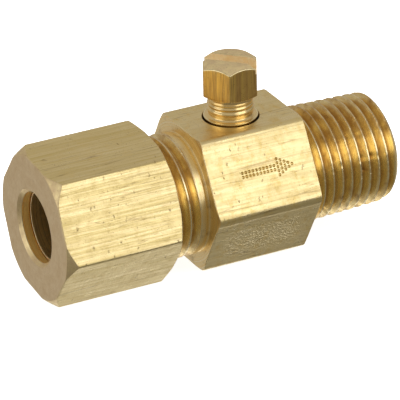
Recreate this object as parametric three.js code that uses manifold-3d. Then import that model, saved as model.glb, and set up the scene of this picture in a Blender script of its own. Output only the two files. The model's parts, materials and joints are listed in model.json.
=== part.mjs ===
// Brass needle valve: an inline body with a male pipe thread at one end and a compression joint
// for tube at the other. An adjusting screw stands in the top flat, and its tapered nose closes
// the gas way between the two ends.
//
// Millimetres, +Z up, +X from the tube end to the pipe end. The origin is on the body's bottom
// flat, straight under the screw, so the gas way's axis runs along X at height AXIS_Z.
// Turned shapes are drawn as [distance along the axis, radius] points.

import * as THREE from 'three';
import { mergeVertices } from 'three/addons/utils/BufferGeometryUtils.js';
import Module from 'manifold-3d';

const wasm = await Module();
wasm.setup();

const INCH = 25.4;
const DEGREE = Math.PI / 180;

// Facets around a turned surface, around the seal ring's section and in a rounded corner.
const FACETS = 48;
const SMALL_FACETS = 32;
const SECTION_FACETS = 12;
const CORNER_FACETS = 3;

// How far a cutter runs on past the face that it opens.
const PAST = 1;

// Points of a geometry closer than this are the same point.
const SAME_POINT = 1e-5;

// Rise of a standard drill point for each millimetre of its radius.
const DRILL_SLOPE = Math.tan(31 * DEGREE);

// Hexagon bar that the body and the nut are cut from, and the gas way's height above its flat.
const BAR_AF = INCH / 2;
const AXIS_Z = BAR_AF / 2;
const BAR_CORNER_DISTANCE = BAR_AF / 2 / Math.cos(30 * DEGREE);

// Body: the hexagon's ends, its face circles, and the corner radius of the drawn bar.
const HEX_START = -5.0;
const HEX_END = 5.33;
const HEX_FACE_R = 6.75;
const HEX_START_CHAMFER = 0.17;
const HEX_END_CHAMFER = 0.1;
const BAR_CORNER_R = 0.65;

// Compression end: 7/16-24 thread, the plain band behind it, and the seat and socket inside.
const TUBE_PITCH = INCH / 24;
const TUBE_MAJOR_R = 5.6;
const TUBE_THREAD_DEPTH = 0.62;
const TUBE_FACE = -12.1;
const TUBE_LAST_ROOT = -6.4;
const TUBE_TURNS = 5;
const BAND_START = -5.95;
const BAND_END = -5.34;
const RELIEF_R = 5.5;
const SEAT_ANGLE = 24 * DEGREE;
const SEAT_MOUTH_R = 4.25;
const SOCKET_R = 3.225;
const SOCKET_FLOOR = -5.6;

// Pipe end: 1/8-27 taper thread, 1 in 16 on the diameter, and its bore.
const PIPE_PITCH = INCH / 27;
const PIPE_TAPER = 1 / 32;
const PIPE_END = 14.46;
const PIPE_END_MAJOR_R = 5.02;
const PIPE_THREAD_DEPTH = 0.66;
const PIPE_FIRST_ROOT = 6.21;
const PIPE_TURNS = 8;
const PIPE_NECK_R = 4.75;
const PIPE_FACE_R = 4.52;
const PIPE_CHAMFER = 0.38;
const PIPE_BORE_R = 2.78;
const PIPE_BORE_FLOOR = 4.4;
const BORE_CHAMFER = 0.3;

// Gas way through the middle, and the tapered seat that crosses it.
const WAY_R = 1.0;
const STEM_BORE_R = 2.535;
const STEM_BORE_FLOOR = 1.65;
const TAPER_ANGLE = 15 * DEGREE;
const TAPER_TOP_R = 1.6;
const TAPER_END = -1.5;

// Adjusting screw, by heights above the gas way's axis: head, neck, seal groove, thread, nose.
const SCREW_PITCH = INCH / 32;
const SCREW_MAJOR_R = 2.39;
const SCREW_THREAD_DEPTH = 0.45;
const TURNS_OPEN = 1.5;
const HEAD_AF = (3 / 16) * INCH;
const HEAD_ANGLE = 2.5 * DEGREE;
const HEAD_BOTTOM = 8.55;
const HEAD_TOP = 11.95;
const HEAD_CORNER_R = 0.12;
const HEAD_TOP_R = 2.1;
const HEAD_BOTTOM_R = 2.2;
const HEAD_EDGE = 0.27;
const HEAD_EDGE_WIDTH = 0.15;
const HEAD_CHAMFER_ANGLE = 28 * DEGREE;
const NECK_R = 1.98;
const NECK_RIDGES = [7.38, 7.86];
const RIDGE_HEIGHT = 0.1;
const RIDGE_HALF = 0.16;
const COLLAR_TOP = 6.46;
const COLLAR_SLOPE = 0.4;
const GROOVE_TOP = 6.1;
const GROOVE_BOTTOM = 5.16;
const GROOVE_R = 1.68;
const LOWER_COLLAR = 0.25;
const SCREW_THREAD_TURNS = 2;
const NOSE_GAP = 0.04;
const NOSE_SHOULDER = 0.1;
const SLOT_WIDTH = 1.4;
const SLOT_DEPTH = 1.0;
const SLOT_ANGLE = -45 * DEGREE;

// Seal ring in the screw's groove.
const SEAL_GAP = 0.025;

// Compression nut, turned a little on the thread.
const NUT_FACE = -19.5;
const NUT_REAR = -8.2;
const NUT_ANGLE = 6.7 * DEGREE;
const NUT_CORNER_R = 0.2;
const NUT_FACE_R = 6.55;
const NUT_FACE_CHAMFER = 0.82;
const NUT_REAR_R = 6.38;
const NUT_REAR_CHAMFER = 0.5;
const NUT_BORE_R = 3.215;
const NUT_MOUTH_R = 3.555;
const NUT_MOUTH_CHAMFER = 0.3;
const NUT_LAND_END = -18.75;
const NUT_SHOULDER_ANGLE = 45 * DEGREE;
const THREAD_CLEARANCE = 0.08;

// Compression sleeve: a loose barrel with a taper at each end.
const SLEEVE_FACE = -18.3;
const SLEEVE_LENGTH = 6.35;
const SLEEVE_BORE_R = 3.2;
const SLEEVE_END_R = 3.4;
const SLEEVE_R = 3.96;

// ---------------------------------------------------------------- geometry helpers

// Turns a closed three.js geometry into a solid that can be joined and cut.
function solidFrom(geometry) {
  const bare = geometry.index ? geometry.toNonIndexed() : geometry.clone();
  bare.deleteAttribute('normal');
  bare.deleteAttribute('uv');
  const merged = mergeVertices(bare, SAME_POINT);
  const index = merged.index.array;
  const triangles = [];
  for (let i = 0; i < index.length; i += 3) {
    const [a, b, c] = [index[i], index[i + 1], index[i + 2]];
    if (a !== b && b !== c && c !== a) triangles.push(a, b, c);
  }
  const mesh = new wasm.Mesh({
    numProp: 3,
    vertProperties: new Float32Array(merged.attributes.position.array),
    triVerts: new Uint32Array(triangles),
  });
  return new wasm.Manifold(mesh);
}

function geometryFrom(solid) {
  const mesh = solid.getMesh();
  const geometry = new THREE.BufferGeometry();
  geometry.setAttribute('position', new THREE.BufferAttribute(mesh.vertProperties, 3));
  geometry.setIndex(new THREE.BufferAttribute(mesh.triVerts, 1));
  geometry.computeVertexNormals();
  return geometry;
}

// A turned solid about +X or +Z from [distance, radius] points that rise along the axis.
function turned(points, axis, facets) {
  const profile = points.map(([distance, radius]) => new THREE.Vector2(radius, distance));
  const geometry = new THREE.LatheGeometry(profile, facets);
  if (axis === 'x') {
    geometry.rotateZ(-Math.PI / 2);
  } else {
    geometry.rotateX(Math.PI / 2);
  }
  return solidFrom(geometry);
}

// Outline of a hexagon with rounded corners and one corner on the first axis of its plane.
function hexagonShape(acrossFlats, cornerRadius) {
  const shape = new THREE.Shape();
  const cornerCentre = (acrossFlats / 2 - cornerRadius) / Math.cos(30 * DEGREE);
  for (let corner = 0; corner < 6; corner++) {
    const angle = corner * 60 * DEGREE;
    const x = cornerCentre * Math.cos(angle);
    const y = cornerCentre * Math.sin(angle);
    shape.absarc(x, y, cornerRadius, angle - 30 * DEGREE, angle + 30 * DEGREE, false);
  }
  shape.closePath();
  return shape;
}

function hexagonGeometry(acrossFlats, cornerRadius, length) {
  const shape = hexagonShape(acrossFlats, cornerRadius);
  const options = { depth: length, bevelEnabled: false, curveSegments: CORNER_FACETS };
  return new THREE.ExtrudeGeometry(shape, options);
}

// A hexagon bar along +X from start to end, with a flat on top and chamfered ends.
function hexagonAlongX(start, end, cornerRadius, startChamfer, endChamfer) {
  const bar = hexagonGeometry(BAR_AF, cornerRadius, end - start);
  bar.rotateX(Math.PI / 2);
  bar.rotateZ(Math.PI / 2);
  bar.translate(start, 0, 0);
  const outsideR = BAR_AF;
  const chamfers = turned([
    [start, 0],
    [start, startChamfer.faceRadius],
    [start + chamferReach(startChamfer, outsideR), outsideR],
    [end - chamferReach(endChamfer, outsideR), outsideR],
    [end, endChamfer.faceRadius],
    [end, 0],
  ], 'x', FACETS);
  return solidFrom(bar).intersect(chamfers);
}

// A chamfer's cone starts at the face circle and is its full length deep at the hexagon's
// corners. This is how deep the same cone is at a radius that clears the corners.
function chamferReach(chamfer, radius) {
  const slope = chamfer.length / (BAR_CORNER_DISTANCE - chamfer.faceRadius);
  return (radius - chamfer.faceRadius) * slope;
}

// Rings of a V thread from its first root, for a number of turns. The crest is a short flat.
function threadRings(firstRoot, turns, pitch, depth, crestRadiusAt) {
  const crestHalf = pitch / 12;
  const rings = [];
  for (let turn = 0; turn < turns; turn++) {
    const root = firstRoot + turn * pitch;
    const crest = root + pitch / 2;
    rings.push([root, crestRadiusAt(root) - depth]);
    rings.push([crest - crestHalf, crestRadiusAt(crest)]);
    rings.push([crest + crestHalf, crestRadiusAt(crest)]);
  }
  const end = firstRoot + turns * pitch;
  rings.push([end, crestRadiusAt(end) - depth]);
  return rings;
}

function brass(colour, roughness) {
  return new THREE.MeshStandardMaterial({ color: colour, roughness, metalness: 1 });
}

function named(name, solid, material) {
  const mesh = new THREE.Mesh(geometryFrom(solid), material);
  mesh.name = name;
  return mesh;
}

// ---------------------------------------------------------------- valve body

function tubeMajorRadius() {
  return TUBE_MAJOR_R;
}

function pipeMajorRadiusAt(x) {
  return PIPE_END_MAJOR_R + (PIPE_END - x) * PIPE_TAPER;
}

// The two threaded ends, turned from the same bar as the hexagon between them.
function bodyTurning() {
  const tubeThreadStart = TUBE_LAST_ROOT - TUBE_TURNS * TUBE_PITCH;
  const tubeRootR = TUBE_MAJOR_R - TUBE_THREAD_DEPTH;
  return turned([
    [TUBE_FACE, 0],
    [TUBE_FACE, tubeRootR],
    ...threadRings(tubeThreadStart, TUBE_TURNS, TUBE_PITCH, TUBE_THREAD_DEPTH, tubeMajorRadius),
    [BAND_START, TUBE_MAJOR_R],
    [BAND_END, TUBE_MAJOR_R],
    [BAND_END, RELIEF_R],
    [HEX_END, RELIEF_R],
    [HEX_END, PIPE_NECK_R],
    ...threadRings(PIPE_FIRST_ROOT, PIPE_TURNS, PIPE_PITCH, PIPE_THREAD_DEPTH, pipeMajorRadiusAt),
    [PIPE_END - PIPE_CHAMFER, PIPE_FACE_R + PIPE_CHAMFER],
    [PIPE_END, PIPE_FACE_R],
    [PIPE_END, 0],
  ], 'x', FACETS);
}

// Everything drilled along the body: seat cone, tube socket, gas way and pipe bore.
function bodyAxialBores() {
  const seatSlope = Math.tan(SEAT_ANGLE);
  const socketStart = TUBE_FACE + (SEAT_MOUTH_R - SOCKET_R) / seatSlope;
  const socketDrillPoint = (SOCKET_R - WAY_R) * DRILL_SLOPE;
  const pipeDrillPoint = (PIPE_BORE_R - WAY_R) * DRILL_SLOPE;
  return turned([
    [TUBE_FACE - PAST, 0],
    [TUBE_FACE - PAST, SEAT_MOUTH_R + PAST * seatSlope],
    [socketStart, SOCKET_R],
    [SOCKET_FLOOR, SOCKET_R],
    [SOCKET_FLOOR + socketDrillPoint, WAY_R],
    [PIPE_BORE_FLOOR - pipeDrillPoint, WAY_R],
    [PIPE_BORE_FLOOR, PIPE_BORE_R],
    [PIPE_END - BORE_CHAMFER, PIPE_BORE_R],
    [PIPE_END + PAST, PIPE_BORE_R + BORE_CHAMFER + PAST],
    [PIPE_END + PAST, 0],
  ], 'x', FACETS);
}

function taperRadiusAt(height) {
  return TAPER_TOP_R - (STEM_BORE_FLOOR - height) * Math.tan(TAPER_ANGLE);
}

// The screw's hole: a drill point, the tapered seat across the gas way, and the stem bore.
function bodyStemBore() {
  const endR = taperRadiusAt(TAPER_END);
  const above = AXIS_Z + PAST;
  return turned([
    [TAPER_END - endR * DRILL_SLOPE, 0],
    [TAPER_END, endR],
    [STEM_BORE_FLOOR, TAPER_TOP_R],
    [STEM_BORE_FLOOR, STEM_BORE_R],
    [above, STEM_BORE_R],
    [above, 0],
  ], 'z', FACETS);
}

function valveBody() {
  const startChamfer = { faceRadius: HEX_FACE_R, length: HEX_START_CHAMFER };
  const endChamfer = { faceRadius: HEX_FACE_R, length: HEX_END_CHAMFER };
  const solid = hexagonAlongX(HEX_START, HEX_END, BAR_CORNER_R, startChamfer, endChamfer)
    .add(bodyTurning())
    .subtract(bodyAxialBores())
    .subtract(bodyStemBore());
  return named('valve_body', solid, brass('#c2a262', 0.32));
}

// ---------------------------------------------------------------- adjusting screw

function screwHead() {
  const head = hexagonGeometry(HEAD_AF, HEAD_CORNER_R, HEAD_TOP - HEAD_BOTTOM);
  head.rotateZ(HEAD_ANGLE);
  head.translate(0, 0, HEAD_BOTTOM);
  const outsideR = HEAD_AF;
  const slope = Math.tan(HEAD_CHAMFER_ANGLE);
  const topConeR = HEAD_TOP_R + HEAD_EDGE_WIDTH;
  const chamfers = turned([
    [HEAD_BOTTOM, 0],
    [HEAD_BOTTOM, HEAD_BOTTOM_R],
    [HEAD_BOTTOM + (outsideR - HEAD_BOTTOM_R) * slope, outsideR],
    [HEAD_TOP - HEAD_EDGE - (outsideR - topConeR) * slope, outsideR],
    [HEAD_TOP - HEAD_EDGE, topConeR],
    [HEAD_TOP, HEAD_TOP_R],
    [HEAD_TOP, 0],
  ], 'z', SMALL_FACETS);
  return solidFrom(head).intersect(chamfers);
}

function screwMajorRadius() {
  return SCREW_MAJOR_R;
}

// Nose, thread, seal groove, collar and neck, from the tip upwards, as the screw stands open.
function screwShank() {
  const lift = TURNS_OPEN * SCREW_PITCH;
  const noseRadiusAt = (height) => taperRadiusAt(height - lift) - NOSE_GAP / Math.cos(TAPER_ANGLE);
  const tip = TAPER_END + lift + NOSE_GAP;
  const noseTop = STEM_BORE_FLOOR + lift + NOSE_SHOULDER;
  const threadStart = GROOVE_BOTTOM - LOWER_COLLAR - SCREW_THREAD_TURNS * SCREW_PITCH;
  const ridges = NECK_RIDGES.flatMap((height) => [
    [height - RIDGE_HALF, NECK_R],
    [height, NECK_R + RIDGE_HEIGHT],
    [height + RIDGE_HALF, NECK_R],
  ]);
  return turned([
    [tip, 0],
    [tip, noseRadiusAt(tip)],
    [noseTop, noseRadiusAt(noseTop)],
    ...threadRings(threadStart, SCREW_THREAD_TURNS, SCREW_PITCH, SCREW_THREAD_DEPTH, screwMajorRadius),
    [GROOVE_BOTTOM, SCREW_MAJOR_R],
    [GROOVE_BOTTOM, GROOVE_R],
    [GROOVE_TOP, GROOVE_R],
    [GROOVE_TOP, SCREW_MAJOR_R],
    [COLLAR_TOP, SCREW_MAJOR_R],
    [COLLAR_TOP + COLLAR_SLOPE, NECK_R],
    ...ridges,
    [HEAD_BOTTOM + PAST, NECK_R],
    [HEAD_BOTTOM + PAST, 0],
  ], 'z', SMALL_FACETS);
}

function adjustingScrew() {
  const slot = new THREE.BoxGeometry(2 * HEAD_AF, SLOT_WIDTH, 2 * SLOT_DEPTH);
  slot.rotateZ(SLOT_ANGLE);
  slot.translate(0, 0, HEAD_TOP);
  const solid = screwHead().add(screwShank()).subtract(solidFrom(slot));
  return named('adjusting_screw', solid, brass('#b58a3c', 0.3));
}

// ---------------------------------------------------------------- seal ring

function stemSealRing() {
  const inner = GROOVE_R + SEAL_GAP;
  const outer = STEM_BORE_R - SEAL_GAP;
  const sectionR = (outer - inner) / 2;
  const ring = new THREE.TorusGeometry(inner + sectionR, sectionR, SECTION_FACETS, SMALL_FACETS);
  ring.translate(0, 0, (GROOVE_TOP + GROOVE_BOTTOM) / 2);
  const rubber = new THREE.MeshStandardMaterial({ color: '#1b1b1c', roughness: 0.6, metalness: 0 });
  return named('stem_seal_ring', solidFrom(ring), rubber);
}

// ---------------------------------------------------------------- compression nut and sleeve

// Clearance for the tube, the shoulder that pushes the sleeve, and the thread's clearance bore.
function nutBore() {
  const threadR = TUBE_MAJOR_R + THREAD_CLEARANCE;
  const shoulderEnd = NUT_LAND_END + (threadR - NUT_BORE_R) / Math.tan(NUT_SHOULDER_ANGLE);
  const mouthSlope = (NUT_MOUTH_R - NUT_BORE_R) / NUT_MOUTH_CHAMFER;
  return turned([
    [NUT_FACE - PAST, 0],
    [NUT_FACE - PAST, NUT_MOUTH_R + PAST * mouthSlope],
    [NUT_FACE + NUT_MOUTH_CHAMFER, NUT_BORE_R],
    [NUT_LAND_END, NUT_BORE_R],
    [shoulderEnd, threadR],
    [NUT_REAR + PAST, threadR],
    [NUT_REAR + PAST, 0],
  ], 'x', FACETS);
}

function compressionNut() {
  const faceChamfer = { faceRadius: NUT_FACE_R, length: NUT_FACE_CHAMFER };
  const rearChamfer = { faceRadius: NUT_REAR_R, length: NUT_REAR_CHAMFER };
  const solid = hexagonAlongX(NUT_FACE, NUT_REAR, NUT_CORNER_R, faceChamfer, rearChamfer)
    .subtract(nutBore());
  return named('compression_nut', solid, brass('#cdb275', 0.34));
}

function compressionSleeve() {
  const taper = (SLEEVE_R - SLEEVE_END_R) / Math.tan(SEAT_ANGLE);
  const rear = SLEEVE_FACE + SLEEVE_LENGTH;
  const solid = turned([
    [SLEEVE_FACE, SLEEVE_BORE_R],
    [SLEEVE_FACE, SLEEVE_END_R],
    [SLEEVE_FACE + taper, SLEEVE_R],
    [rear - taper, SLEEVE_R],
    [rear, SLEEVE_END_R],
    [rear, SLEEVE_BORE_R],
    [SLEEVE_FACE, SLEEVE_BORE_R],
  ], 'x', FACETS);
  return named('compression_sleeve', solid, brass('#b98d3f', 0.28));
}

// ---------------------------------------------------------------- assembly

const nutOnThread = new THREE.Group();
nutOnThread.rotation.x = NUT_ANGLE;
nutOnThread.add(compressionNut());

const needleValve = new THREE.Group();
needleValve.position.z = AXIS_Z;
needleValve.add(
  valveBody(),
  adjustingScrew(),
  stemSealRing(),
  nutOnThread,
  compressionSleeve(),
);

export default needleValve;
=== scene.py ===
"""Looks of a brass needle valve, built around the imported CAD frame.

Shapes are worked out in millimetres. A turned shape is a list of rings, and a ring is its
distance along the axis and its radius at each angle round the axis. The valve's axis runs along
X through the gas way, and the screw's axis runs along Z.
"""

import json
import math
import random

import bmesh
import bpy
import numpy as np
from mathutils import Matrix, Vector


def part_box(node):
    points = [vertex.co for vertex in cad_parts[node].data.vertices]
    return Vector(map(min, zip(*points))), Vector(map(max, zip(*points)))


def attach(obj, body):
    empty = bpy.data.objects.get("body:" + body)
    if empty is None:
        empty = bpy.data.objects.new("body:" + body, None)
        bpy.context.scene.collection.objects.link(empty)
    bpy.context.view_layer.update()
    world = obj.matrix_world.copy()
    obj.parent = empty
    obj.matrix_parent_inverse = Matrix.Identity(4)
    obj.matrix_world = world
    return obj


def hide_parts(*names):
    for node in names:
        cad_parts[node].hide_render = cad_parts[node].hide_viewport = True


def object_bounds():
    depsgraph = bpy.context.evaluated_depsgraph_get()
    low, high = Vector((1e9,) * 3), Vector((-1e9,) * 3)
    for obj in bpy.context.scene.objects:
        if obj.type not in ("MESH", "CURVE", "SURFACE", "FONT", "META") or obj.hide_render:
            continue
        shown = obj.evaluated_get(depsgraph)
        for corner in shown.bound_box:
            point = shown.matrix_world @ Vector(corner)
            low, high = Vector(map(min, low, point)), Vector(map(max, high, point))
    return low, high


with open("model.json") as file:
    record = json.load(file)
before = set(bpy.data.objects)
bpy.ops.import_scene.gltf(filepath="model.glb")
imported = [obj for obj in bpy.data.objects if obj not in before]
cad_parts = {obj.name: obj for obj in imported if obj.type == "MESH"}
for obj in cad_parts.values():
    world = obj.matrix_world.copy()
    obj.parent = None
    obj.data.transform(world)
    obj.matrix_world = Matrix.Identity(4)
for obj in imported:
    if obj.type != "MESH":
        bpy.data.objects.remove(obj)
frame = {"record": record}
cad_low, cad_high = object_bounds()

# ---------------------------------------------------------------- driving dimensions

MM = 0.001
INCH = 25.4
TURN = 2 * math.pi
COUPLINGS = {c["joint"]: c["ratio"] for c in frame["record"]["behaviour"]["couplings"]}
BODY_LOW, BODY_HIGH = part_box("valve_body")
NUT_LOW, NUT_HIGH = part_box("compression_nut")
SLEEVE_LOW, SLEEVE_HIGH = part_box("compression_sleeve")
SCREW_LOW, SCREW_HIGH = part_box("adjusting_screw")
SEAL_LOW, SEAL_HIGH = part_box("stem_seal_ring")

# The gas way's axis is half way up the hexagon bar.
AXIS_Z = (BODY_LOW.z + BODY_HIGH.z) / 2
BAR_AF = (BODY_HIGH.z - BODY_LOW.z) / MM
BAR_TOP = BAR_AF / 2
BAR_CORNER_DISTANCE = BAR_AF / 2 / math.cos(math.radians(30))

# Body: hexagon, compression thread on the left and taper pipe thread on the right. A chamfer is
# [radius where it leaves the end face, its length at the bar's corners]. A crest of each thread
# crosses the front side of the valve at its FRONT_CREST.
TUBE_FACE = BODY_LOW.x / MM
PIPE_END = BODY_HIGH.x / MM
HEX_START = TUBE_FACE + 7.1
HEX_END = HEX_START + 10.33
HEX_START_CHAMFER = (6.75, 0.17)
HEX_END_CHAMFER = (6.75, 0.1)
TUBE_PITCH = TURN / COUPLINGS["nut_turn"] / MM
TUBE_MAJOR_R = 5.6
TUBE_DEPTH = 0.62
TUBE_PILOT_R = TUBE_MAJOR_R - TUBE_DEPTH
TUBE_FRONT_CREST = HEX_START - 1.93
BAND_START = HEX_START - 0.95
BAND_END = HEX_START - 0.34
RELIEF_R = 5.5
SEAT_MOUTH_R = 4.25
SEAT_SLOPE = math.tan(math.radians(24))
SOCKET_R = 3.225
SOCKET_FLOOR = HEX_START - 0.6
PIPE_PITCH = INCH / 27
PIPE_TAPER = 1 / 32
PIPE_END_MAJOR_R = 5.02
PIPE_DEPTH = 0.66
PIPE_FRONT_CREST = HEX_END + 1.31
PIPE_FACE_R = 4.52
PIPE_BORE_R = 2.78
PIPE_BORE_FLOOR = HEX_END - 0.93
WAY_R = 1.0
DRILL_SLOPE = math.tan(math.radians(31))

# The screw's hole in the body.
STEM_BORE_R = 2.535
STEM_BORE_FLOOR = BAR_TOP - 4.7
TAPER_TOP_R = 1.6
TAPER_SLOPE = math.tan(math.radians(15))
TAPER_END = BAR_TOP - 7.85

# Screw, by heights above the gas way's axis.
SCREW_PITCH = TURN / COUPLINGS["stem_turn"] / MM
SCREW_TIP = (SCREW_LOW.z - AXIS_Z) / MM
HEAD_TOP = (SCREW_HIGH.z - AXIS_Z) / MM
HEAD_BOTTOM = HEAD_TOP - 3.4
HEAD_AF = INCH * 3 / 16
HEAD_CORNER_R = 0.12
HEAD_TOP_R = 1.98
HEAD_ANGLE = math.radians(2.5)
NECK_R = 1.98
SCREW_MAJOR_R = 2.39
SCREW_DEPTH = 0.45
SEAL_MIDDLE = ((SEAL_LOW.z + SEAL_HIGH.z) / 2 - AXIS_Z) / MM
GROOVE_HALF = 0.47
GROOVE_R = 1.68
SLOT_WIDTH = 1.4
SLOT_DEPTH = 1.0
SLOT_CHAMFER = 0.09
SLOT_ANGLE = math.radians(-45)
COLLAR_TOP = BAR_TOP + 0.2

# Nut and sleeve.
NUT_FACE = NUT_LOW.x / MM
NUT_REAR = NUT_HIGH.x / MM
NUT_ANGLE = math.radians(6.7)
NUT_CORNER_R = 0.2
NUT_FRONT_CHAMFER = (6.55, 0.82)
NUT_REAR_CHAMFER = (6.38, 0.5)
NUT_BORE_R = 3.215
NUT_MOUTH_R = 3.555
NUT_THREAD_R = TUBE_MAJOR_R + 0.08
SLEEVE_FACE = SLEEVE_LOW.x / MM
SLEEVE_REAR = SLEEVE_HIGH.x / MM
SLEEVE_R = (SLEEVE_HIGH.z - SLEEVE_LOW.z) / 2 / MM
SLEEVE_BORE_R = 3.2
SLEEVE_END_R = 3.4

# The bar's rounded corners, and the die line past each of them.
BAR_CORNER_R = 0.65
DIE_LINE_ANGLE = math.radians(4.2)

# Rounding of a machined edge, and the turn between two faces from which their edge is sharp.
EDGE = 0.05
SHARP_ANGLE = math.radians(34)

# Which of a piece's materials each part of its surface takes.
ZONES = {"drawn": 0, "turned": 1, "thread": 2, "bore": 3, "faced": 4, "pipe": 5}

# ---------------------------------------------------------------- rings and meshes


def hexagon_angles(corner_radius, across_flats, per_flat, per_corner, first_corner):
    """Angles round a hexagon, close together at each corner and wider apart along each flat."""
    angles = []
    inner = (across_flats / 2 - corner_radius) / math.cos(math.radians(30))
    flat_half = inner * math.sin(math.radians(30))
    flat_distance = across_flats / 2
    for corner in range(6):
        at = first_corner + corner * TURN / 6
        tangent = math.radians(30) - math.atan2(flat_half, flat_distance)
        for step in range(per_corner):
            angles.append(at - tangent + 2 * tangent * step / per_corner)
        for step in range(per_flat):
            even = 2 * step / per_flat - 1
            bunched = -math.cos(math.pi * step / per_flat)
            along = flat_half * (even + bunched) / 2
            angles.append(at + math.radians(30) + math.atan2(along, flat_distance))
    angles.append(angles[0] + TURN)
    return np.array(angles)


def hexagon_radius(angles, across_flats, corner_radius, first_corner):
    """Radius of a rounded hexagon at each angle."""
    sixth = TURN / 6
    off = (angles - first_corner + sixth / 2) % sixth - sixth / 2
    inner = (across_flats / 2 - corner_radius) / math.cos(sixth / 2)
    flat = across_flats / 2 / np.cos(sixth / 2 - np.abs(off))
    tangent = math.atan2(
        corner_radius * math.sin(sixth / 2),
        inner + corner_radius * math.cos(sixth / 2),
    )
    under = np.maximum(corner_radius**2 - (inner * np.sin(off)) ** 2, 0)
    arc = inner * np.cos(off) + np.sqrt(under)
    return np.where(np.abs(off) < tangent, arc, flat)


def eased(t, first, corner, last):
    """A point on the soft curve that rounds a corner, for t from 0 to 1."""
    return (1 - t) ** 2 * first + 2 * t * (1 - t) * corner + t * t * last


def plain_rings(angles, points, zone, edge=EDGE, steps=3):
    """Rings of a turned profile. Each corner between two straight lines is rounded."""
    rings = []
    points = [np.array(p, float) for p in points]
    for i, point in enumerate(points):
        if i in (0, len(points) - 1):
            rings.append((point, zone))
            continue
        before = points[i - 1] - point
        after = points[i + 1] - point
        short = min(edge, np.linalg.norm(before) / 2.1, np.linalg.norm(after) / 2.1)
        first = point + before / np.linalg.norm(before) * short
        last = point + after / np.linalg.norm(after) * short
        for step in range(steps + 1):
            rings.append((eased(step / steps, first, point, last), zone))
    all_round = np.ones(len(angles))
    return [(point[0] * all_round, point[1] * all_round, zone) for point, zone in rings]


def chamfer_corners(radii, face, inward, face_radius, slope):
    """Where a chamfer cone leaves the end face and where it meets the hexagon's flats."""
    on_face = np.minimum(face_radius, radii - EDGE)
    reach = np.maximum(EDGE, (radii - face_radius) * slope)
    return (face + 0 * radii, on_face), (face + inward * reach, radii)


def chamfer_rings(radii, face, inward, face_radius, slope, edge=0.035, steps=3):
    """Rings from an end face over its chamfer onto the hexagon, with both edges rounded."""
    start, end = chamfer_corners(radii, face, inward, face_radius, slope)
    start_x, start_r = start
    end_x, end_r = end
    length = np.hypot(end_x - start_x, end_r - start_r)
    short = np.minimum(edge, length / 2.1)
    along_x = short * ((end_x - start_x) / length)
    along_r = short * ((end_r - start_r) / length)
    rings = []
    for step in range(steps + 1):
        t = step / steps
        x = eased(t, start_x, start_x, start_x + along_x)
        r = eased(t, start_r - short, start_r, start_r + along_r)
        rings.append((x, r, ZONES["faced" if step == 0 else "turned"]))
    for step in range(steps + 1):
        t = step / steps
        x = eased(t, end_x - along_x, end_x, end_x + inward * short)
        r = eased(t, end_r - along_r, end_r, end_r)
        rings.append((x, r, ZONES["turned"]))
    return rings


# A V thread's form over one pitch, as [share of the pitch from the root, share of the depth].
THREAD_FORM = (
    (0.0, 1.0),
    (0.045, 0.97),
    (0.09, 0.87),
    (0.2, 0.58),
    (0.31, 0.31),
    (0.41, 0.07),
    (0.445, 0.005),
    (0.5, 0.0),
)
FORM_SHARE = np.array([s for s, _ in THREAD_FORM] + [1 - s for s, _ in THREAD_FORM[-2::-1]])
FORM_DEPTH = np.array([d for _, d in THREAD_FORM] + [d for _, d in THREAD_FORM[-2::-1]])


def thread_rings(angles, start, end, pitch, root, radius_at, zone="thread"):
    """Right-hand helical rings from start to end. root is where a root crosses angle zero.

    radius_at(x, depth_share, angles) gives the surface at a point of the thread.
    """
    rings = []
    first = math.floor((start - root) / pitch) - 1
    last = math.ceil((end - root) / pitch)
    for turn in range(first, last + 1):
        for share in FORM_SHARE[:-1]:
            x = np.clip(root + (turn + share + angles / TURN) * pitch, start, end)
            phase = ((x - root) / pitch - angles / TURN) % 1
            depth_share = np.interp(phase, FORM_SHARE, FORM_DEPTH)
            rings.append((x, radius_at(x, depth_share, angles), ZONES[zone]))
    return rings


def crest_wear(seed, columns, turns=16):
    """How far each turn's crest stands above or below its true height, at each angle."""
    wear = np.random.default_rng(seed).uniform(-1, 1, (turns, columns))
    wear = (wear + np.roll(wear, 1, 1)) / 2
    wear[:, [0, -1]] = 0
    return wear


def worn(r, x, depth_share, angles, root, pitch, wear, height=0.03):
    """r with each crest raised or lowered by its wear. The root is left alone."""
    turn = np.floor((x - root) / pitch - angles / TURN).astype(int) % len(wear)
    return r + height * wear[turn, np.arange(len(angles))] * (1 - depth_share) ** 4


def nicks(seed, count, low, high, depth):
    """Small dents at random places: (distance along the axis, angle, width, depth)."""
    rng = random.Random(seed)
    return [
        (
            rng.uniform(low, high),
            rng.uniform(0, TURN),
            rng.uniform(0.08, 0.26),
            rng.uniform(0.3, 1) * depth,
        )
        for _ in range(count)
    ]


def nicked(x, r, angles, dents):
    """r with the dents pressed into it."""
    for at, angle, width, depth in dents:
        round_off = (angles - angle + math.pi) % TURN - math.pi
        off = ((x - at) / width) ** 2 + (round_off * r / width) ** 2
        r = r - depth * np.exp(-off)
    return r


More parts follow.
